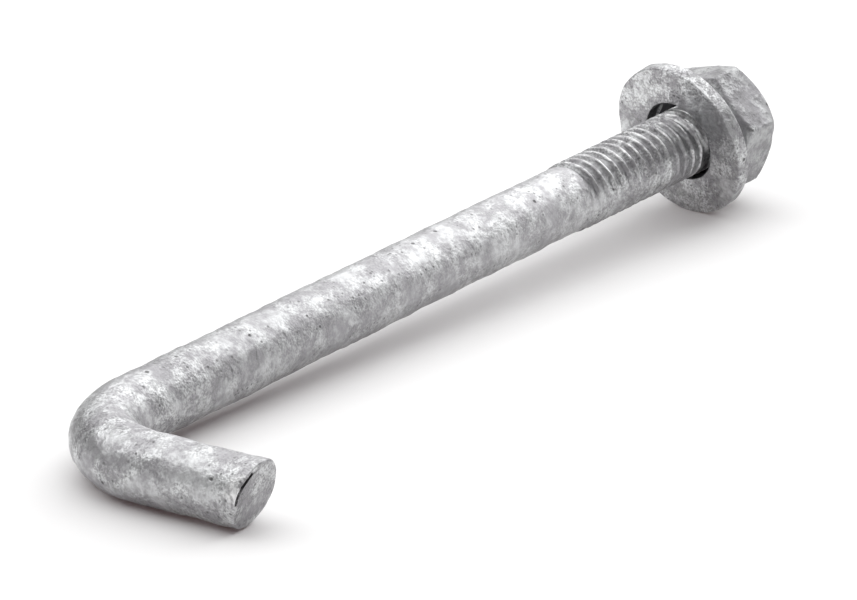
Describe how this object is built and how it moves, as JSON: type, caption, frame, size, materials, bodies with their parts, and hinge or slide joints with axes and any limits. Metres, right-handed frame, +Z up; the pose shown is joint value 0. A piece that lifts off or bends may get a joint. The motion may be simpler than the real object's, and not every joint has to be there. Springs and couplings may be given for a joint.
{
  "type": "j bolt",
  "caption": "Galvanised steel J bolt: a round bar bent square into a short hook, threaded at the far end and carrying a loose flat washer and a hex nut.",
  "frame": {"origin": "centre of the bounding box at floor level, with the bolt lying as it comes to rest on its hook leg and the washer's rim", "axes": "+Z up; +Y along the shank from the hook to the threaded end; +X from the shank towards the tip of the hook leg"},
  "size_m": [0.029, 0.1036, 0.015],
  "materials": {
    "zinc_rod": "hot-dip galvanised, mottled matt grey with bright patches",
    "zinc_washer": "hot-dip galvanised, mottled matt grey",
    "zinc_nut": "hot-dip galvanised, dull grey"
  },
  "bodies": {
    "rod": {"anchor_rod": "zinc_rod"},
    "washer": {"washer": "zinc_washer"},
    "nut": {"hex_nut": "zinc_nut"}
  },
  "joints": [
    {"name": "washer_slide", "type": "slide", "parent": "rod", "child": "washer", "axis": [0, 0.9991, 0.0426], "range_m": [-0.019, 0.014]},
    {"name": "nut_spin", "type": "hinge", "parent": "washer", "child": "nut", "pos_m": [-0.00698, 0.04817, 0.0073], "axis": [0, 0.9991, 0.0426], "range_deg": [-5380, 3960]}
  ],
  "couplings": [
    {"joint": "washer_slide", "follows": "nut_spin", "m_per_rad": 0.00020213}
  ]
}
